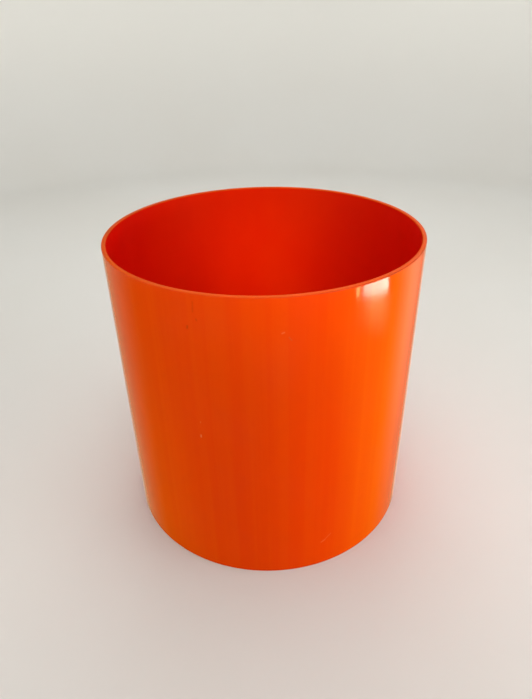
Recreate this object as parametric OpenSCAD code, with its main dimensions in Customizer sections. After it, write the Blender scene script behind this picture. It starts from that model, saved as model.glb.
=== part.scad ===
// Straight-sided open bucket, built from a plastic tube with a bonded-in floor.
// The axis is +Z and the origin is the centre of the foot, on the ground. Millimetres.
//
// The tube wall stands on its own lower edge. Inside that edge a rebate takes the floor disc,
// which is pushed up from below against the rebate's shoulder, a little above the ground.
// Cement fills the gap round the disc and ends in a bead in the corner above and below it.

/* [Wall] */
// Outside diameter of the tube
body_d = 254; // [150:1:360]
// Height from the ground to the top of the rim
body_h = 254; // [120:1:400]
// Thickness of the tube wall
wall_t = 3.4; // [2.6:0.1:6]
// Radius of the two eased edges of the rim
rim_edge_r = 0.9; // [0.3:0.1:1.2]
// Radius of the eased outer edge of the foot
foot_edge_r = 0.7; // [0.2:0.1:1]

/* [Floor] */
// Thickness of the floor disc
floor_t = 4; // [2:0.5:8]
// Height of the floor disc's underside above the ground
floor_lift = 6; // [4:0.5:15]
// Depth of the rebate that the floor disc sits in
rebate = 1.2; // [0.8:0.1:1.4]

/* [Cement] */
// Thickness of the cement between the disc and the rebate
cement_t = 0.3; // [0.2:0.05:0.4]
// Leg of the bead in the corner above the floor
top_bead = 2.6; // [1.5:0.1:4]
// Leg of the bead in the corner below the floor
under_bead = 1.8; // [1:0.1:2.4]

/* [Hidden] */
$fn = 180;
wall_colour = [0.92, 0.28, 0.04];
floor_colour = [0.86, 0.22, 0.03];
cement_colour = [0.80, 0.26, 0.06];

outer_r = body_d / 2;
inner_r = outer_r - wall_t;
rebate_r = inner_r + rebate;
disc_r = rebate_r - cement_t;
floor_top = floor_lift + floor_t;
shoulder_z = floor_top + cement_t;

// A circle of radius r in the radial section, with its centre at radius x and height z.
module dot(x, z, r) {
    translate([x, z]) circle(r = r);
}

// An upright strip of the radial section, from x0 to x1 and z0 to z1.
module strip(x0, x1, z0, z1) {
    translate([x0, z0]) square([x1 - x0, z1 - z0]);
}

// The wall's section before the rebate is cut: both rim edges and the outer foot edge are eased.
module wall_section() {
    rim_z = body_h - rim_edge_r;
    strip(inner_r, outer_r, foot_edge_r, rim_z);
    strip(inner_r, outer_r - foot_edge_r, 0, foot_edge_r + 1);
    strip(inner_r + rim_edge_r, outer_r - rim_edge_r, rim_z - 1, body_h);
    dot(outer_r - foot_edge_r, foot_edge_r, foot_edge_r);
    dot(inner_r + rim_edge_r, rim_z, rim_edge_r);
    dot(outer_r - rim_edge_r, rim_z, rim_edge_r);
}

module side_wall() {
    color(wall_colour)
    rotate_extrude()
    difference() {
        wall_section();
        strip(inner_r - 1, rebate_r, -1, shoulder_z);
    }
}

module floor_disc() {
    color(floor_colour)
    translate([0, 0, floor_lift])
    cylinder(r = disc_r, h = floor_t);
}

// One ring: the film round the disc's edge and under the shoulder, and the two beads that it
// ends in, one standing on the disc against the wall and one hanging under it in the rebate.
module cement_bead() {
    color(cement_colour)
    rotate_extrude()
    polygon([
        [inner_r - top_bead, floor_top],
        [disc_r, floor_top],
        [disc_r, floor_lift],
        [rebate_r - under_bead, floor_lift],
        [rebate_r, floor_lift - under_bead],
        [rebate_r, shoulder_z],
        [inner_r, shoulder_z],
        [inner_r, floor_top + top_bead]
    ]);
}

side_wall();
floor_disc();
cement_bead();
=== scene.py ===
"""Looks of a straight-sided orange plastic bucket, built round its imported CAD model.

Everything is in metres, in the CAD frame: +Z is the bucket's axis and z = 0 is the ground.
A bearing is an angle round that axis in degrees, from the front (-Y) to the right (+X).
"""

import math
import random
from collections import namedtuple

import bmesh
import bpy
import numpy as np
from mathutils import Matrix, Vector


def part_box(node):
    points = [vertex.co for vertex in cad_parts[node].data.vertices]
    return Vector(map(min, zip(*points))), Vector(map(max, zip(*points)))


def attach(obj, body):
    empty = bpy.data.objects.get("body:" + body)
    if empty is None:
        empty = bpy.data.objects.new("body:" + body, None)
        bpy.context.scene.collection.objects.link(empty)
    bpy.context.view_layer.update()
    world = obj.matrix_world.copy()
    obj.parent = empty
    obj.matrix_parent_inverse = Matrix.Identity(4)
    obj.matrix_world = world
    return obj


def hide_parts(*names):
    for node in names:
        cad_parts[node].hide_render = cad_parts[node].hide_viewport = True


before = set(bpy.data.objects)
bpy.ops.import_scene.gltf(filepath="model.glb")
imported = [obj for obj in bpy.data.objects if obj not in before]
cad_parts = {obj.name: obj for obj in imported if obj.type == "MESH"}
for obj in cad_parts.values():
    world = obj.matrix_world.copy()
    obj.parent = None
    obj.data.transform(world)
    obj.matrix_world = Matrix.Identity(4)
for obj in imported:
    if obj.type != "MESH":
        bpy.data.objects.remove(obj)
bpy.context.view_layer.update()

MM = 0.001
SEED = 41

# ---------------------------------------------------------------- sizes, from the frame


def radii(node):
    """Distance of each of a CAD node's vertices from the axis."""
    return [math.hypot(v.co.x, v.co.y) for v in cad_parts[node].data.vertices]


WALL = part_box("side_wall")
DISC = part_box("floor_disc")
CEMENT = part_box("cement_bead")
HEIGHT = WALL[1].z
OUTER_R = max(radii("side_wall"))
INNER_R = min(radii("side_wall"))
REBATE_R = max(radii("cement_bead"))
DISC_R = max(radii("floor_disc"))
DISC_LOW, DISC_TOP = DISC[0].z, DISC[1].z
TOP_BEAD = CEMENT[1].z - DISC_TOP
UNDER_BEAD = DISC_LOW - CEMENT[0].z
CEMENT_T = REBATE_R - DISC_R
SHOULDER_Z = DISC_TOP + CEMENT_T
RIM_EDGE_R = 0.9 * MM
FOOT_EDGE_R = 0.7 * MM

# ---------------------------------------------------------------- wear on the outside

# A short straight mark in the wall's outside. bearing and height are its middle, tilt is
# its lean from upright towards greater bearings, in degrees. white is stress whitening
# and the last number is dirt that it holds, both from 0 to 1.
Mark = namedtuple("Mark", "bearing height length tilt width depth white grime")

MARKS = [
    Mark(-23.6, 229.0 * MM, 1.6 * MM, 12, 0.55 * MM, 0.10 * MM, 0.0, 0.40),
    Mark(-20.4, 235.5 * MM, 1.0 * MM, -20, 0.45 * MM, 0.08 * MM, 0.0, 0.28),
    Mark(-21.2, 244.5 * MM, 7.0 * MM, 4, 0.50 * MM, 0.02 * MM, 0.0, 0.18),
    Mark(4.9, 228.7 * MM, 1.6 * MM, 70, 0.40 * MM, 0.06 * MM, 0.25, 0.0),
    Mark(7.0, 224.0 * MM, 3.0 * MM, -35, 0.35 * MM, 0.05 * MM, 0.10, 0.15),
    Mark(-22.6, 139.2 * MM, 1.8 * MM, 0, 0.45 * MM, 0.10 * MM, 0.45, 0.0),
    Mark(-22.3, 152.0 * MM, 1.0 * MM, 0, 0.35 * MM, 0.04 * MM, 0.2, 0.0),
    Mark(21.4, 29.5 * MM, 10.0 * MM, 48, 0.40 * MM, 0.04 * MM, 0.14, 0.0),
    Mark(19.9, 26.8 * MM, 3.0 * MM, 62, 0.70 * MM, 0.06 * MM, 0.14, 0.0),
]
# How many small marks like these lie over the sides and back.
SCATTERED_MARKS = 26
# Faces are split within this many mark widths of a mark's line, and a margin more. Their
# centres lie inside the true radius by less than the sag.
MARK_REACH = 3.0
MARK_MARGIN = 1.2 * MM
FACE_SAG = 0.05 * MM
# How far a mark's whitening or dirt spreads, in mark widths, and how deep it goes.
STAIN_SPREAD = 1.1
STAIN_DEPTH = 0.5 * MM

# Painted shade: a dark line painted along the rim's outer eased edge stands in for the dark
# reflection there, and the rim's whole top is made darker. Each is darkest at one bearing
# and fades over a spread of bearings. The line has one strength all round, to which its
# darkest bearing adds.
RIM_LINE_DROP = 0.5 * MM
RIM_LINE_WIDTH = 0.45 * MM
RIM_LINE_ALL_ROUND, RIM_LINE_ADDED = 0.15, 0.7
RIM_LINE_SPAN = (60, 55)
RIM_TOP_DARKENING = 0.5
RIM_TOP_DARKENING_SPAN = (230, 90)
RIM_TOP_DARKENING_DEPTH = 0.9 * MM

# Painted light: the inside is a little more orange at the back, where the light falls: middle
# bearing and spread.
LIT_BACK_SPAN = (180, 62)

# Waves in the wall's surface: share, waves round the axis, radians per metre up, phase.
WAVES = [
    (0.30, 3, 0, 0.7),
    (0.22, 7, -9, 1.1),
    (0.12, 17, 14, 0.0),
    (0.16, 2, 41, 0.0),
    (0.06, 5, 97, 0.4),
]

# How much the wall's outside and inside wave in and out, how many degrees the inside's
# waves are turned from the outside's, and the least that the outside is pushed in.
WALL_WAVE = 0.09 * MM
INSIDE_WAVE = 0.06 * MM
INSIDE_TURN = 50
LEAST_DEPTH = 0.04 * MM

# Dings in the rim's outer edge: bearing, half width along the rim, depth. DING_DROP is how
# far down they reach.
RIM_DINGS = [
    (-61, 2.2 * MM, 0.20 * MM),
    (14, 1.8 * MM, 0.10 * MM),
    (71, 2.6 * MM, 0.16 * MM),
    (128, 3.4 * MM, 0.28 * MM),
    (197, 2.0 * MM, 0.22 * MM),
    (262, 2.8 * MM, 0.14 * MM),
]
DING_DROP = 2.2 * MM

# The raised lip that a mark pushes up beside it: its share of the depth, and its middle and
# half width in mark widths.
LIP_SHARE, LIP_AT, LIP_WIDTH = 0.22, 1.7, 0.5


def scattered_marks(count):
    """Small marks like the ones in front, over the sides and back."""
    rng = random.Random(SEED)
    made = []
    for _ in range(count):
        length = rng.uniform(0.8, 6.0) * MM
        white = rng.random() < 0.7
        made.append(
            Mark(
                bearing=rng.uniform(60, 300),
                height=HEIGHT * rng.betavariate(1.3, 1.3),
                length=length,
                tilt=rng.gauss(0, 38),
                width=rng.uniform(0.32, 0.55) * MM,
                depth=rng.uniform(0.03, 0.10) * MM,
                white=rng.uniform(0.15, 0.45) if white else 0.0,
                grime=0.0 if white else rng.uniform(0.2, 0.45),
            )
        )
    return made


def arc_from(bearing, centre, radius):
    """Arc length from centre to bearing, both in degrees, the short way round."""
    return np.radians((bearing - centre + 180) % 360 - 180) * radius


def mark_distance(mark, bearing, z):
    """Distance of each point from a mark's line."""
    s = arc_from(bearing, mark.bearing, OUTER_R)
    dz = z - mark.height
    lean = math.radians(mark.tilt)
    along = np.abs(s * math.sin(lean) + dz * math.cos(lean))
    across = s * math.cos(lean) - dz * math.sin(lean)
    return np.hypot(across, np.maximum(along - mark.length / 2, 0))


def waviness(bearing, z, size):
    """Gentle unevenness of an extruded wall, from 0 to about size."""
    a = np.radians(bearing)
    total = sum(
        share * np.sin(turns * a + rise * z + phase) for share, turns, rise, phase in WAVES
    )
    return size * (0.5 + 0.5 * total)


def lobe(bearing, middle, spread):
    """1 at the middle bearing, fading either side to about a third at spread degrees."""
    return np.exp(-((((bearing - middle + 180) % 360 - 180) / spread) ** 2))


def rim_shade_line_and_darkening(radius, bearing, z):
    """Strength of the darkening on the rim's top and of the painted shade line along its outer
    edge, from 0 to 1.
    """
    d = np.hypot(OUTER_R - RIM_LINE_DROP / 2 - radius, HEIGHT - RIM_LINE_DROP - z)
    patchy = 0.75 + 0.25 * np.sin(np.radians(23 * bearing)) * np.sin(np.radians(7 * bearing))
    strength = RIM_LINE_ALL_ROUND + RIM_LINE_ADDED * lobe(bearing, *RIM_LINE_SPAN)
    line = np.exp(-((d / RIM_LINE_WIDTH) ** 2)) * strength
    top = RIM_TOP_DARKENING * lobe(bearing, *RIM_TOP_DARKENING_SPAN) * (HEIGHT - z < RIM_TOP_DARKENING_DEPTH)
    return np.maximum(line, top) * patchy


def outside_depth(bearing, z, marks):
    """How far the outside lies inside the CAD radius: waviness, marks and rim dings."""
    depth = waviness(bearing, z, WALL_WAVE) + LEAST_DEPTH
    for mark in marks:
        d = mark_distance(mark, bearing, z) / mark.width
        groove = np.exp(-(d**2))
        lip = np.exp(-(((d - LIP_AT) / LIP_WIDTH) ** 2))
        depth += mark.depth * (groove - LIP_SHARE * lip)
    for centre, half_width, ding in RIM_DINGS:
        s = arc_from(bearing, centre, OUTER_R) / half_width
        drop = (HEIGHT - z) / DING_DROP
        depth += ding * np.exp(-(s**2)) * np.exp(-(drop**2))
    return np.maximum(depth, 0)


# ---------------------------------------------------------------- mesh making


def arc(centre_r, centre_z, radius, start, stop, steps):
    """Profile points on an arc, from start to stop in degrees; 0 is outwards, 90 is up."""
    turns = [math.radians(start + (stop - start) * i / steps) for i in range(steps + 1)]
    return [(centre_r + radius * math.cos(t), centre_z + radius * math.sin(t)) for t in turns]


def ladder(start, stop, count):
    """Evenly spaced values between start and stop, without the two ends."""
    return [start + (stop - start) * i / count for i in range(1, count)]


def wall_profile():
    """The wall's section as a closed loop of (radius, height), up the outside first."""
    outer_top = HEIGHT - RIM_EDGE_R
    near = 0.4 * MM  # a loop this close to each eased edge keeps its shading crisp
    points = arc(OUTER_R - FOOT_EDGE_R, FOOT_EDGE_R, FOOT_EDGE_R, -90, 0, 5)
    points += [(OUTER_R, FOOT_EDGE_R + near)]
    points += [(OUTER_R, z) for z in ladder(FOOT_EDGE_R + near, outer_top - near, 64)]
    points += [(OUTER_R, outer_top - near)]
    points += arc(OUTER_R - RIM_EDGE_R, outer_top, RIM_EDGE_R, 0, 90, 6)
    points += [(r, HEIGHT) for r in ladder(OUTER_R - RIM_EDGE_R, INNER_R + RIM_EDGE_R, 5)]
    points += arc(INNER_R + RIM_EDGE_R, outer_top, RIM_EDGE_R, 90, 180, 6)
    points += [(INNER_R, outer_top - near)]
    points += [(INNER_R, z) for z in ladder(outer_top - near, SHOULDER_Z, 40)]
    points += [(INNER_R, SHOULDER_Z), (REBATE_R, SHOULDER_Z)]
    points += [(REBATE_R, z) for z in ladder(SHOULDER_Z, 0, 4)]
    points += [(REBATE_R, 0)]
    return points


def ring_mesh(name, profile_at, columns, closed=True):
    """A mesh swept round the axis. profile_at(bearing) gives its (radius, height) loop."""
    bm = bmesh.new()
    rings = []
    for i in range(columns):
        bearing = 360 * i / columns
        x, y = math.sin(math.radians(bearing)), -math.cos(math.radians(bearing))
        rings.append([bm.verts.new((r * x, r * y, z)) for r, z in profile_at(bearing)])
    for i, ring in enumerate(rings):
        beside = rings[(i + 1) % columns]
        for j in range(len(ring) if closed else len(ring) - 1):
            k = (j + 1) % len(ring)
            bm.faces.new((ring[j], beside[j], beside[k], ring[k]))
    bmesh.ops.recalc_face_normals(bm, faces=bm.faces)
    mesh = bpy.data.meshes.new(name)
    bm.to_mesh(mesh)
    bm.free()
    return mesh


def new_object(name, mesh):
    """Puts a mesh into the scene as an object."""
    piece = bpy.data.objects.new(name, mesh)
    bpy.context.scene.collection.objects.link(piece)
    return piece


def smooth(mesh, sharp_deg=50):
    """Smooth shading, with creases where two faces meet at more than sharp_deg."""
    mesh.shade_smooth()
    mesh.set_sharp_from_angle(angle=math.radians(sharp_deg))


def vertex_places(mesh):
    """(radius, bearing in degrees, height) of every vertex."""
    co = np.empty(len(mesh.vertices) * 3)
    mesh.vertices.foreach_get("co", co)
    x, y, z = co.reshape(-1, 3).T
    return np.hypot(x, y), np.degrees(np.arctan2(x, -y)), z


def place_vertices(mesh, radius, bearing, z):
    """Moves every vertex to its new radius, bearing and height."""
    a = np.radians(bearing)
    co = np.stack([radius * np.sin(a), -radius * np.cos(a), z], axis=1)
    mesh.vertices.foreach_set("co", co.ravel())
    mesh.update()


def store(mesh, name, values):
    """Keeps one number per vertex for the materials to read."""
    layer = mesh.attributes.new(name, "FLOAT", "POINT")
    layer.data.foreach_set("value", np.asarray(values, np.float32))


def refine_near_marks(mesh, marks, cuts=7):
    """Splits the outside's faces near each mark, so that the mark is real shape."""
    bm = bmesh.new()
    bm.from_mesh(mesh)
    edges = set()
    for face in bm.faces:
        c = face.calc_center_median()
        if math.hypot(c.x, c.y) < OUTER_R - FACE_SAG:
            continue
        bearing = math.degrees(math.atan2(c.x, -c.y))
        for mark in marks:
            if mark_distance(mark, bearing, c.z) < mark.width * MARK_REACH + MARK_MARGIN:
                edges.update(face.edges)
                break
    in_order = sorted(edges, key=lambda edge: edge.index)
    bmesh.ops.subdivide_edges(bm, edges=in_order, cuts=cuts, use_grid_fill=True)
    bm.to_mesh(mesh)
    bm.free()


# The wall's material slots, in the order that its materials are added.
OUTSIDE, CUT, INSIDE = 0, 1, 2


def mark_surfaces(mesh):
    """Gives each face the material of the outside, the cut edges or the inside."""
    for face in mesh.polygons:
        c = face.center
        r = math.hypot(c.x, c.y)
        if r > OUTER_R - RIM_EDGE_R and RIM_EDGE_R / 2 < c.z < HEIGHT - RIM_EDGE_R / 2:
            face.material_index = OUTSIDE
        elif c.z > HEIGHT - RIM_EDGE_R or c.z < SHOULDER_Z:
            face.material_index = CUT
        else:
            face.material_index = INSIDE


def build_wall():
    """The tube wall, with its uneven skin, eased edges, marks and dings."""
    marks = MARKS + scattered_marks(SCATTERED_MARKS)
    profile = wall_profile()
    mesh = ring_mesh("wall_shell", lambda bearing: profile, 360)
    mark_surfaces(mesh)
    refine_near_marks(mesh, marks)
    radius, bearing, z = vertex_places(mesh)
    middle = (OUTER_R + INNER_R) / 2
    outer = radius > middle
    pushed = np.where(
        outer,
        radius - outside_depth(bearing, z, marks),
        radius + waviness(bearing + INSIDE_TURN, z, INSIDE_WAVE),
    )
    place_vertices(mesh, pushed, bearing, z)
    skin = np.exp(-(((OUTER_R - radius) / STAIN_DEPTH) ** 2))
    white, grime = np.zeros(len(z)), np.zeros(len(z))
    for mark in marks:
        spread = STAIN_SPREAD * mark.width
        near = np.exp(-((mark_distance(mark, bearing, z) / spread) ** 2)) * skin
        white = np.maximum(white, mark.white * near)
        grime = np.maximum(grime, mark.grime * near)
    # Painted shade: the dark line along the rim's outer edge, and the darker rim top, are added to
    # the marks' dirt.
    grime = np.maximum(grime, rim_shade_line_and_darkening(radius, bearing, z))
    store(mesh, "white", white)
    store(mesh, "grime", grime)
    # Painted light: how strongly each point takes the paler orange painted on the back of the
    # inside.
    store(mesh, "lit_back", lobe(bearing, *LIT_BACK_SPAN))
    smooth(mesh)
    return new_object("wall_shell", mesh)


def build_floor():
    """The floor disc: a flat sheet, a little dished, with its sawn edge slightly eased."""
    ease = 0.35 * MM
    rings = 28
    dish = 0.25 * MM

    def sag(r):
        return -dish * (1 - (r / DISC_R) ** 2)

    rim = DISC_R - ease
    radius_steps = [rim * (i / rings) ** 0.9 for i in range(rings, 0, -1)]
    profile = [(r, DISC_TOP + sag(r)) for r in reversed(radius_steps)]
    profile += arc(rim, DISC_TOP - ease, ease, 90, 0, 4)[1:]
    profile += arc(rim, DISC_LOW + ease, ease, 0, -90, 4)
    profile += [(r, DISC_LOW + sag(r)) for r in radius_steps[1:]]
    mesh = ring_mesh("floor_sheet", lambda bearing: profile, 240, closed=False)
    close_centre(mesh, profile[0], profile[-1], sag(0))
    smooth(mesh)
    return new_object("floor_sheet", mesh)


def close_centre(mesh, top, bottom, centre_sag):
    """Fills the two small round holes left in the middle of the disc."""
    bm = bmesh.new()
    bm.from_mesh(mesh)
    for (r, z), z_centre in ((top, DISC_TOP + centre_sag), (bottom, DISC_LOW + centre_sag)):
        hub = bm.verts.new((0, 0, z_centre))
        loop = [v for v in bm.verts if v.is_boundary and abs(v.co.z - z) < 1e-7 and v is not hub]
        loop.sort(key=lambda v: math.atan2(v.co.x, -v.co.y))
        for a, b in zip(loop, loop[1:] + loop[:1]):
            bm.faces.new((hub, a, b))
    bmesh.ops.recalc_face_normals(bm, faces=bm.faces)
    bm.to_mesh(mesh)
    bm.free()


def fillet(corner_r, corner_z, leg_in, leg_up, steps=6):
    """A concave bead surface in a corner, from its toe on the floor to its toe on the wall."""
    points = []
    for i in range(steps + 1):
        t = i / steps
        bow = 0.22 * math.sin(math.pi * t)
        inward = (1 - t) * (1 - bow)
        rise = t * (1 - bow)
        points.append((corner_r - leg_in * inward, corner_z + leg_up * rise))
    return points


def wander(bearing, low, high, phase):
    """A smooth uneven value between low and high, as a hand-laid bead has."""
    a = math.radians(bearing)
    total = 0.38 * math.sin(5 * a + phase) + 0.27 * math.sin(13 * a + 2 * phase)
    total += 0.20 * math.sin(31 * a + 3 * phase) + 0.15 * math.sin(67 * a + phase)
    return low + (high - low) * (0.5 + 0.5 * total)


def cement_profile(bearing):
    """The cement's section at one bearing: upper bead, film round the disc, lower bead."""
    upper = fillet(
        INNER_R,
        DISC_TOP,
        TOP_BEAD * wander(bearing, 0.62, 1.0, 0.3),
        TOP_BEAD * wander(bearing, 0.55, 1.0, 1.9),
    )
    lower = fillet(
        REBATE_R,
        DISC_LOW,
        UNDER_BEAD * wander(bearing, 0.6, 1.0, 4.1),
        -UNDER_BEAD * wander(bearing, 0.6, 1.0, 5.3),
    )
    film = [(INNER_R, SHOULDER_Z), (REBATE_R, SHOULDER_Z)]
    return upper + film + lower[::-1] + [(DISC_R, DISC_LOW), (DISC_R, DISC_TOP)]


def build_cement():
    """The cement ring, with its two uneven beads."""
    mesh = ring_mesh("cement_ring", cement_profile, 480)
    smooth(mesh, 60)
    return new_object("cement_ring", mesh)


# ---------------------------------------------------------------- materials


def node(tree, kind, inputs=None, **settings):
    """Adds a node. An input is given a value, or linked if the value is a socket."""
    made = tree.nodes.new(kind)
    for key, value in settings.items():
        setattr(made, key, value)
    for key, value in (inputs or {}).items():
        if isinstance(value, bpy.types.NodeSocket):
            tree.links.new(value, made.inputs[key])
        else:
            made.inputs[key].default_value = value
    return made


def new_material(name, base, roughness, gloss):
    """A material with one Principled shader. Returns it, its tree and the shader."""
    material = bpy.data.materials.new(name)
    material.use_nodes = True
    tree = material.node_tree
    shader = tree.nodes["Principled BSDF"]
    shader.inputs["Base Color"].default_value = base
    shader.inputs["Roughness"].default_value = roughness
    for key, value in gloss.items():
        shader.inputs[key].default_value = value
    return material, tree, shader


def noise(tree, scale, detail=2.0, seed=0.0, rough=0.5, distortion=0.0):
    """Noise over the object's own coordinates. scale is cycles per metre along X, Y, Z."""
    place = tree.nodes.get("Object place")
    if place is None:
        place = node(tree, "ShaderNodeTexCoord")
        place.name = "Object place"
    moved = node(
        tree,
        "ShaderNodeMapping",
        {"Vector": place.outputs["Object"], "Location": (seed, -seed, 2 * seed), "Scale": scale},
    )
    made = node(
        tree,
        "ShaderNodeTexNoise",
        {"Vector": moved.outputs[0], "Scale": 1.0, "Detail": detail, "Roughness": rough,
         "Distortion": distortion},
    )
    return made.outputs[0]


def ramp(tree, value, low, high, to_low=0.0, to_high=1.0):
    """value mapped smoothly from low..high to to_low..to_high."""
    made = node(
        tree,
        "ShaderNodeMapRange",
        {"Value": value, "From Min": low, "From Max": high, "To Min": to_low, "To Max": to_high},
        interpolation_type="SMOOTHSTEP",
    )
    return made.outputs[0]


def maths(tree, operation, a, b):
    """The result of one arithmetic operation on two values."""
    return node(tree, "ShaderNodeMath", {0: a, 1: b}, operation=operation).outputs[0]


def tint(tree, amount, under, over):
    """Colour under, covered by colour over by amount."""
    made = node(tree, "ShaderNodeMix", data_type="RGBA")
    for key, value in ((0, amount), (6, under), (7, over)):
        if isinstance(value, bpy.types.NodeSocket):
            tree.links.new(value, made.inputs[key])
        else:
            made.inputs[key].default_value = value
    return made.outputs[2]


def stored(tree, name):
    """A number that was kept on the mesh with store()."""
    return node(tree, "ShaderNodeAttribute", attribute_name=name).outputs["Fac"]


def bump(tree, height, distance, strength, under=None):
    """A bumped normal, laid over the bumped normal under if there is one."""
    inputs = {"Height": height, "Distance": distance, "Strength": strength}
    if under is not None:
        inputs["Normal"] = under
    return node(tree, "ShaderNodeBump", inputs).outputs[0]


# Colours of the plastic, its wear, its painted light and shade, and the studio, then what each
# finish's gloss is.
ORANGE = (0.86, 0.0465, 0.0003, 1)
ORANGE_DEEP = (0.79, 0.0390, 0.0003, 1)
ORANGE_WORN = (0.88, 0.071, 0.0005, 1)
ORANGE_CUT = (0.74, 0.080, 0.0015, 1)
# Paler orange for worn streaks and rubbed patches, and for the painted light on the back of the
# inside.
INSIDE_WORN_AND_LIT = (0.78, 0.024, 0.0002, 1)
# Painted shade: the inside colours are a darker, redder copy of the orange, standing in for the
# shade inside the bucket.
INSIDE_SHADED_RED = (0.76, 0.0025, 0.0002, 1)
INSIDE_SHADED_DEEP = (0.70, 0.0020, 0.0002, 1)
WHITENED = (0.95, 0.45, 0.22, 1)
SCRATCHED = (0.93, 0.30, 0.008, 1)
# Dirt in the marks, and the painted shade line and darker top of the rim, take this colour.
GRIME_AND_SHADE = (0.26, 0.022, 0.003, 1)
CEMENT_DARK = (0.60, 0.03, 0.001, 1)
STAGE_FLOOR = (0.71, 0.71, 0.69, 1)
STAGE_WARM = (0.69, 0.68, 0.65, 1)
STAGE_WALL = (0.86, 0.86, 0.83, 1)
GLOSS = {"IOR": 1.49}
SATIN = {"IOR": 1.49, "Specular IOR Level": 0.14}
MATT = {"IOR": 1.49, "Specular IOR Level": 0.1}
DULL = {"Specular IOR Level": 0}


def drag_lines(tree):
    """Upright lines, as an extrusion die leaves, from 0 to 1."""
    fine = noise(tree, (700, 700, 4), detail=2, seed=3.0)
    broad = noise(tree, (120, 120, 1.6), detail=2, seed=9.0)
    fine_share = 0.2
    return maths(
        tree,
        "ADD",
        maths(tree, "MULTIPLY", fine, fine_share),
        maths(tree, "MULTIPLY", broad, 1 - fine_share),
    )


def hairlines(tree, scale, seed, share):
    """Separate thin scratches along the axis that scale stretches, from 0 to 1."""
    streak = noise(tree, scale, detail=1.5, seed=seed, distortion=0.15)
    return ramp(tree, streak, 1 - share, 1 - share + 0.05)


def plastic_colour(tree, base, deep, worn, lines, streak, scratches, whitening):
    """Through-coloured plastic: slow mottling, faint upright streaks and pale scratches."""
    mottle = ramp(tree, noise(tree, (16, 16, 10), detail=4, seed=1.0), 0.3, 0.7)
    colour = tint(tree, maths(tree, "MULTIPLY", mottle, 0.35), base, deep)
    colour = tint(tree, maths(tree, "MULTIPLY", lines, streak), colour, worn)
    return tint(tree, maths(tree, "MULTIPLY", scratches, whitening), colour, SCRATCHED)


def outside_material():
    """Glossy extruded plastic: die lines, handling haze, hairline scratches and marks."""
    material, tree, shader = new_material("wall_outside", ORANGE, 0.1, GLOSS)
    lines = drag_lines(tree)
    upright = hairlines(tree, (1500, 1500, 30), 17.0, 0.28)
    slanted = hairlines(tree, (90, 1400, 900), 23.0, 0.25)
    scratches = maths(tree, "MAXIMUM", upright, slanted)
    streaks = ramp(tree, lines, 0.42, 0.66)
    colour = plastic_colour(tree, ORANGE, ORANGE_DEEP, ORANGE_WORN, streaks, 0.30, scratches, 0.045)
    colour = tint(tree, stored(tree, "white"), colour, WHITENED)
    # Dirt in the marks and the painted shade line by the rim darken the wall here.
    colour = tint(tree, stored(tree, "grime"), colour, GRIME_AND_SHADE)
    tree.links.new(colour, shader.inputs["Base Color"])
    haze = ramp(tree, noise(tree, (30, 30, 22), detail=5, seed=5.0), 0.35, 0.75, 0.075, 0.135)
    rough = maths(tree, "ADD", haze, maths(tree, "MULTIPLY", scratches, 0.10))
    tree.links.new(rough, shader.inputs["Roughness"])
    normal = bump(tree, lines, 0.02 * MM, 0.5)
    ripple = noise(tree, (60, 60, 230), detail=2, seed=31.0)
    normal = bump(tree, ripple, 0.05 * MM, 0.5, normal)
    peel = noise(tree, (380, 380, 380), detail=2, seed=47.0)
    normal = bump(tree, peel, 0.03 * MM, 0.5, normal)
    normal = bump(tree, maths(tree, "MULTIPLY", scratches, -1.0), 0.01 * MM, 0.5, normal)
    tree.links.new(normal, shader.inputs["Normal"])
    return material


def inside_material():
    """The same plastic inside, in a darker, redder copy of its colour as painted shade: satin, with
    rubbed patches and scratches from use.
    """
    material, tree, shader = new_material("wall_inside", INSIDE_SHADED_RED, 0.42, MATT)
    lines = drag_lines(tree)
    scratches = hairlines(tree, (500, 700, 120), 29.0, 0.25)
    streaks = ramp(tree, lines, 0.42, 0.66)
    # Painted light: the back of the inside is tinted paler orange where the light falls.
    base = tint(tree, stored(tree, "lit_back"), INSIDE_SHADED_RED, INSIDE_WORN_AND_LIT)
    colour = plastic_colour(tree, base, INSIDE_SHADED_DEEP, INSIDE_WORN_AND_LIT, streaks, 0.06, scratches, 0.01)
    tree.links.new(colour, shader.inputs["Base Color"])
    rubbed = ramp(tree, noise(tree, (24, 24, 18), detail=5, seed=6.0), 0.35, 0.7, 0.36, 0.55)
    tree.links.new(rubbed, shader.inputs["Roughness"])
    normal = bump(tree, lines, 0.01 * MM, 0.4)
    tree.links.new(normal, shader.inputs["Normal"])
    return material


def turning_marks(tree, pitch, seed):
    """Fine rings about the axis, as turning or sanding leaves, from 0 to 1."""
    place = node(tree, "ShaderNodeTexCoord").outputs["Object"]
    split = node(tree, "ShaderNodeSeparateXYZ", {0: place})
    flat = node(tree, "ShaderNodeCombineXYZ", {0: split.outputs[0], 1: split.outputs[1]})
    radius = node(tree, "ShaderNodeVectorMath", {0: flat.outputs[0]}, operation="LENGTH")
    rings = maths(tree, "MULTIPLY", radius.outputs["Value"], 1 / pitch)
    slow = noise(tree, (20, 20, 20), detail=1, seed=seed)
    point = node(tree, "ShaderNodeCombineXYZ", {0: rings, 1: maths(tree, "MULTIPLY", slow, 4.0)})
    inputs = {"Vector": point.outputs[0], "Scale": 1.0, "Detail": 2.0}
    return node(tree, "ShaderNodeTexNoise", inputs).outputs[0]


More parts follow.
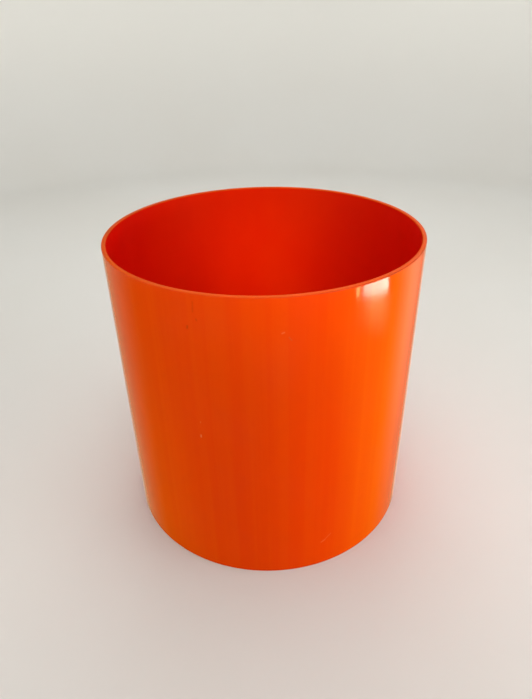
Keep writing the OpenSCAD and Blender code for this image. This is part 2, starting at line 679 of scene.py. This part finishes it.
def cut_material():
    """The sanded rim and foot: paler, duller, with fine rings left by the tool."""
    material, tree, shader = new_material("wall_cut_edge", ORANGE_CUT, 0.4, SATIN)
    rings = turning_marks(tree, 0.4 * MM, 2.0)
    patches = ramp(tree, noise(tree, (70, 70, 70), detail=3, seed=8.0), 0.35, 0.7)
    colour = tint(tree, maths(tree, "MULTIPLY", patches, 0.3), ORANGE_CUT, ORANGE_WORN)
    colour = tint(tree, ramp(tree, rings, 0.55, 0.8, 0.0, 0.06), colour, SCRATCHED)
    # The painted shade line and the darker top of the rim darken the cut edge here.
    colour = tint(tree, stored(tree, "grime"), colour, GRIME_AND_SHADE)
    tree.links.new(colour, shader.inputs["Base Color"])
    tree.links.new(ramp(tree, rings, 0.3, 0.7, 0.32, 0.48), shader.inputs["Roughness"])
    tree.links.new(bump(tree, rings, 0.03 * MM, 0.6), shader.inputs["Normal"])
    return material


def floor_material():
    """Flat sheet plastic, scuffed by what has been put in the bucket, in the inside's darker,
    redder painted-shade copy of the orange.
    """
    material, tree, shader = new_material("floor_sheet_plastic", INSIDE_SHADED_RED, 0.4, SATIN)
    across = hairlines(tree, (70, 1300, 300), 37.0, 0.28)
    along = hairlines(tree, (1200, 60, 300), 43.0, 0.28)
    scratches = maths(tree, "MAXIMUM", across, along)
    rub = ramp(tree, noise(tree, (22, 22, 22), detail=5, seed=12.0), 0.38, 0.72)
    colour = tint(tree, maths(tree, "MULTIPLY", rub, 0.5), INSIDE_SHADED_RED, INSIDE_WORN_AND_LIT)
    colour = tint(tree, maths(tree, "MULTIPLY", scratches, 0.12), colour, SCRATCHED)
    tree.links.new(colour, shader.inputs["Base Color"])
    tree.links.new(ramp(tree, rub, 0.0, 1.0, 0.3, 0.52), shader.inputs["Roughness"])
    rings = turning_marks(tree, 1.2 * MM, 4.0)
    normal = bump(tree, rings, 0.02 * MM, 0.3)
    normal = bump(tree, scratches, 0.02 * MM, 0.5, normal)
    tree.links.new(normal, shader.inputs["Normal"])
    return material


def cement_material():
    """Cured solvent cement: the same plastic, darker, wet-looking, with small bubbles."""
    material, tree, shader = new_material("cement_cured", ORANGE_DEEP, 0.2, GLOSS)
    lumps = noise(tree, (260, 260, 260), detail=3, seed=14.0)
    bubbles = ramp(tree, noise(tree, (900, 900, 900), detail=1, seed=19.0), 0.66, 0.74)
    colour = tint(tree, ramp(tree, lumps, 0.35, 0.7, 0.0, 0.6), ORANGE_DEEP, CEMENT_DARK)
    colour = tint(tree, maths(tree, "MULTIPLY", bubbles, 0.4), colour, WHITENED)
    tree.links.new(colour, shader.inputs["Base Color"])
    tree.links.new(ramp(tree, lumps, 0.3, 0.7, 0.12, 0.34), shader.inputs["Roughness"])
    normal = bump(tree, lumps, 0.3 * MM, 0.6)
    tree.links.new(bump(tree, bubbles, 0.08 * MM, 0.6, normal), shader.inputs["Normal"])
    return material


def stage_material():
    """Plain pale matt floor, paler still where the cove turns up into a backdrop."""
    material, tree, shader = new_material("studio_cove", STAGE_FLOOR, 0.9, DULL)
    grain = noise(tree, (3, 3, 3), detail=2, seed=7.0)
    colour = tint(tree, ramp(tree, grain, 0.3, 0.7, 0.0, 0.5), STAGE_FLOOR, STAGE_WARM)
    place = node(tree, "ShaderNodeTexCoord").outputs["Object"]
    height = node(tree, "ShaderNodeSeparateXYZ", {0: place}).outputs[2]
    colour = tint(tree, ramp(tree, height, 0.02, 0.5), colour, STAGE_WALL)
    tree.links.new(colour, shader.inputs["Base Color"])
    return material


# ---------------------------------------------------------------- stage, light, camera


def build_stage():
    """A round cove: a flat floor that curves up into a wall on every side."""
    flat_r, curve_r, wall_h = 1.25, 0.35, 2.6
    profile = [(r, 0.0) for r in (0.02, 0.3, 0.6, 0.9)]
    profile += arc(flat_r, curve_r, curve_r, -90, 0, 16)
    profile += [(flat_r + curve_r, wall_h)]
    mesh = ring_mesh("studio_cove", lambda bearing: profile, 96, closed=False)
    bm = bmesh.new()
    bm.from_mesh(mesh)
    hole = [edge for edge in bm.edges if edge.is_boundary and edge.verts[0].co.z < wall_h / 2]
    bmesh.ops.contextual_create(bm, geom=hole)
    bmesh.ops.recalc_face_normals(bm, faces=bm.faces)
    bm.to_mesh(mesh)
    bm.free()
    mesh.shade_smooth()
    cove = new_object("studio_cove", mesh)
    cove.data.materials.append(stage_material())
    cove.visible_glossy = False


def area_light(name, place, target, size, power, colour):
    """A rectangular light at place that shines at target. size is (width, height)."""
    light = bpy.data.lights.new(name, "AREA")
    light.shape = "RECTANGLE"
    light.size, light.size_y = size
    light.energy = power
    light.color = colour
    lamp = bpy.data.objects.new(name, light)
    bpy.context.scene.collection.objects.link(lamp)
    lamp.location = place
    lamp.rotation_euler = (Vector(target) - Vector(place)).to_track_quat("-Z", "Y").to_euler()
    lamp.visible_camera = False
    return lamp


WARM = (1.0, 0.92, 0.78)
DAY = (1.0, 0.985, 0.96)
AMBER = (1.0, 0.88, 0.33)

# Soft lights round the bucket: bearing, distance from the axis, height, (width, height) of
# the light, watts. They all shine at the middle of the rim.
SOFT_LIGHTS = {
    "window_low": (75, 1.40, 0.20, (0.9, 0.3), 9.7),
    "window_mid": (60, 1.10, 0.70, (0.7, 0.4), 1.5),
    "left_low": (-75, 1.40, 0.20, (0.9, 0.3), 3.0),
    "front_steep": (3, 0.50, 1.20, (0.4, 0.4), 2.0),
    "top_soft": (0, 0.05, 1.80, (1.2, 1.2), 10.8),
    "back_high": (180, 0.90, 1.20, (0.9, 0.9), 5.4),
}

# Low cards that show only as highlights: place on the floor, turn, (width, depth), watts,
# colour. The haze card is a faint glow below the highlight.
CARDS = {
    "low_card": ((0.629, -0.191), -15.0, (0.105, 0.235), 1.00, WARM),
    "low_card_edge": ((0.548, -0.335), -30.0, (0.055, 0.028), 0.055, AMBER),
    "haze_card": ((0.500, -0.160), 0.0, (0.200, 0.360), 0.60, AMBER),
}
CARD_LIFT = 4 * MM

# The haze card's light grows from nothing to full: outwards from the bucket along X, and
# inwards from its front and its back edge along Y.
HAZE_OUTWARDS = (0.42, 0.58)
HAZE_FROM_FRONT = (-0.33, -0.19)
HAZE_FROM_BACK = (0.0, -0.17)

# The narrow beam over the front of the rim: where it stands and points, its full angle in
# degrees, the radius of its lamp and its watts.
BEAM_PLACE = Vector((0.10, -1.15, 1.02))
BEAM_TARGET = Vector((0, INNER_R, 0.17))
BEAM_ANGLE = 8.3
BEAM_RADIUS = 0.06
BEAM_WATTS = 51


def fade_haze(light):
    """Makes the haze card fade out at its front and back and towards the bucket."""
    light.use_nodes = True
    tree = light.node_tree
    place = node(tree, "ShaderNodeNewGeometry").outputs["Position"]
    x, y, _ = node(tree, "ShaderNodeSeparateXYZ", {0: place}).outputs
    outwards = ramp(tree, x, *HAZE_OUTWARDS)
    across = maths(
        tree, "MULTIPLY", ramp(tree, y, *HAZE_FROM_FRONT), ramp(tree, y, *HAZE_FROM_BACK)
    )
    strength = maths(tree, "MULTIPLY", outwards, across)
    tree.links.new(strength, tree.nodes["Emission"].inputs["Strength"])


def inside_spot():
    """A soft narrow beam over the front of the rim, onto the back of the inside."""
    light = bpy.data.lights.new("inside_spot", "SPOT")
    light.energy = BEAM_WATTS
    light.color = WARM
    light.spot_size = math.radians(BEAM_ANGLE)
    light.spot_blend = 1.0
    light.shadow_soft_size = BEAM_RADIUS
    lamp = bpy.data.objects.new("inside_spot", light)
    bpy.context.scene.collection.objects.link(lamp)
    lamp.location = BEAM_PLACE
    lamp.rotation_euler = (BEAM_TARGET - BEAM_PLACE).to_track_quat("-Z", "Y").to_euler()
    lamp.visible_glossy = False


def build_lights():
    """Soft studio lights and the low cards for the highlight by the rim."""
    rim_middle = (0, 0, HEIGHT)
    for name, (bearing, distance, height, size, power) in SOFT_LIGHTS.items():
        a = math.radians(bearing)
        place = (distance * math.sin(a), -distance * math.cos(a), height)
        lamp = area_light(name, place, rim_middle, size, power, DAY)
        lamp.visible_glossy = False
    inside_spot()
    for name, ((x, y), turn, size, power, colour) in CARDS.items():
        card = area_light(name, (x, y, CARD_LIFT), (x, y, 1), size, power, colour)
        card.rotation_euler = (math.pi, 0, math.radians(turn))
        card.visible_diffuse = False
    fade_haze(bpy.data.lights["haze_card"])


# Colours that the gloss mirrors, by direction: in front and at the sides, steeply down in
# front, behind, straight behind, straight behind on the window's side, near the horizon,
# and above it. The gains say how much brighter the window's side is: in general, steeply
# down, and near or above the horizon.
SURROUND_FRONT = (0.36, 0.265, 0.005, 1)
SURROUND_UNDER = (0.22, 0.105, 0.003, 1)
SURROUND_BEHIND = (0.50, 0.42, 0.215, 1)
SURROUND_PALE = (0.70, 0.62, 0.52, 1)
SURROUND_GLOW = (1.05, 0.92, 0.76, 1)
SURROUND_LEVEL = (0.52, 0.44, 0.24, 1)
SURROUND_ABOVE = (0.48, 0.32, 0.03, 1)
WINDOW_GAIN = 3.35
WINDOW_GAIN_UNDER = 2.75
WINDOW_GAIN_LEVEL = 1.3


def build_surround():
    """What the gloss mirrors: a warm room, paler behind and brighter on the window's side.

    x, y and z are the mirrored direction: towards the window, backwards and up.
    """
    world = bpy.data.worlds.new("studio")
    world.use_nodes = True
    tree = world.node_tree
    place = node(tree, "ShaderNodeTexCoord").outputs["Generated"]
    x, y, z = node(tree, "ShaderNodeSeparateXYZ", {0: place}).outputs
    background = tree.nodes["Background"]
    under = maths(tree, "MULTIPLY", ramp(tree, y, -0.20, -0.60), ramp(tree, z, -0.48, -0.72))
    colour = tint(tree, under, SURROUND_FRONT, SURROUND_UNDER)
    colour = tint(tree, ramp(tree, y, 0.12, 0.70), colour, SURROUND_BEHIND)
    pale = tint(tree, ramp(tree, x, 0.08, 0.26), SURROUND_PALE, SURROUND_GLOW)
    level_squared = maths(tree, "SUBTRACT", 1.0, maths(tree, "MULTIPLY", z, z))
    backwards = maths(tree, "DIVIDE", y, maths(tree, "POWER", level_squared, 0.5))
    colour = tint(tree, ramp(tree, backwards, 0.81, 0.96), colour, pale)
    level = ramp(tree, z, -0.40, -0.30)
    colour = tint(tree, level, colour, SURROUND_LEVEL)
    above = tint(tree, ramp(tree, x, 0.05, 0.22), SURROUND_ABOVE, SURROUND_PALE)
    colour = tint(tree, ramp(tree, z, 0.0, 0.25), colour, above)
    tree.links.new(colour, background.inputs["Color"])
    gain = ramp(tree, z, -0.72, -0.48, WINDOW_GAIN_UNDER, WINDOW_GAIN)
    gain = ramp(tree, level, 0.0, 1.0, gain, WINDOW_GAIN_LEVEL)
    tree.links.new(ramp(tree, x, 0.52, 0.85, 1.0, gain), background.inputs["Strength"])
    bpy.context.scene.world = world
    world.cycles_visibility.diffuse = False


def build_camera():
    """The camera: in front and above the rim, looking down at it, with a slight roll."""
    distance, height = 3.415 * OUTER_R, HEIGHT + 1.1605 * OUTER_R
    pitch, roll, swing = math.radians(30.984), math.radians(-1.285), math.radians(0.043)
    data = bpy.data.cameras.new("camera")
    data.sensor_width = 36
    data.lens = 28.79
    camera = bpy.data.objects.new("camera", data)
    bpy.context.scene.collection.objects.link(camera)
    camera.matrix_world = (
        Matrix.Translation((0, -distance, height))
        @ Matrix.Rotation(swing, 4, "Z")
        @ Matrix.Rotation(math.pi / 2 - pitch, 4, "X")
        @ Matrix.Rotation(roll, 4, "Z")
    )
    bpy.context.scene.camera = camera


build_stage()
build_lights()
build_surround()
build_camera()
wall = build_wall()
for made in (outside_material(), cut_material(), inside_material()):
    wall.data.materials.append(made)
disc = build_floor()
disc.data.materials.append(floor_material())
cement = build_cement()
cement.data.materials.append(cement_material())
for piece, replaced, slot in (
    (wall, "side_wall", "wall_plastic"),
    (disc, "floor_disc", "floor_plastic"),
    (cement, "cement_bead", "cement"),
):
    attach(piece, "root")
    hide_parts(replaced)

bpy.context.scene.view_settings.view_transform = "Standard"
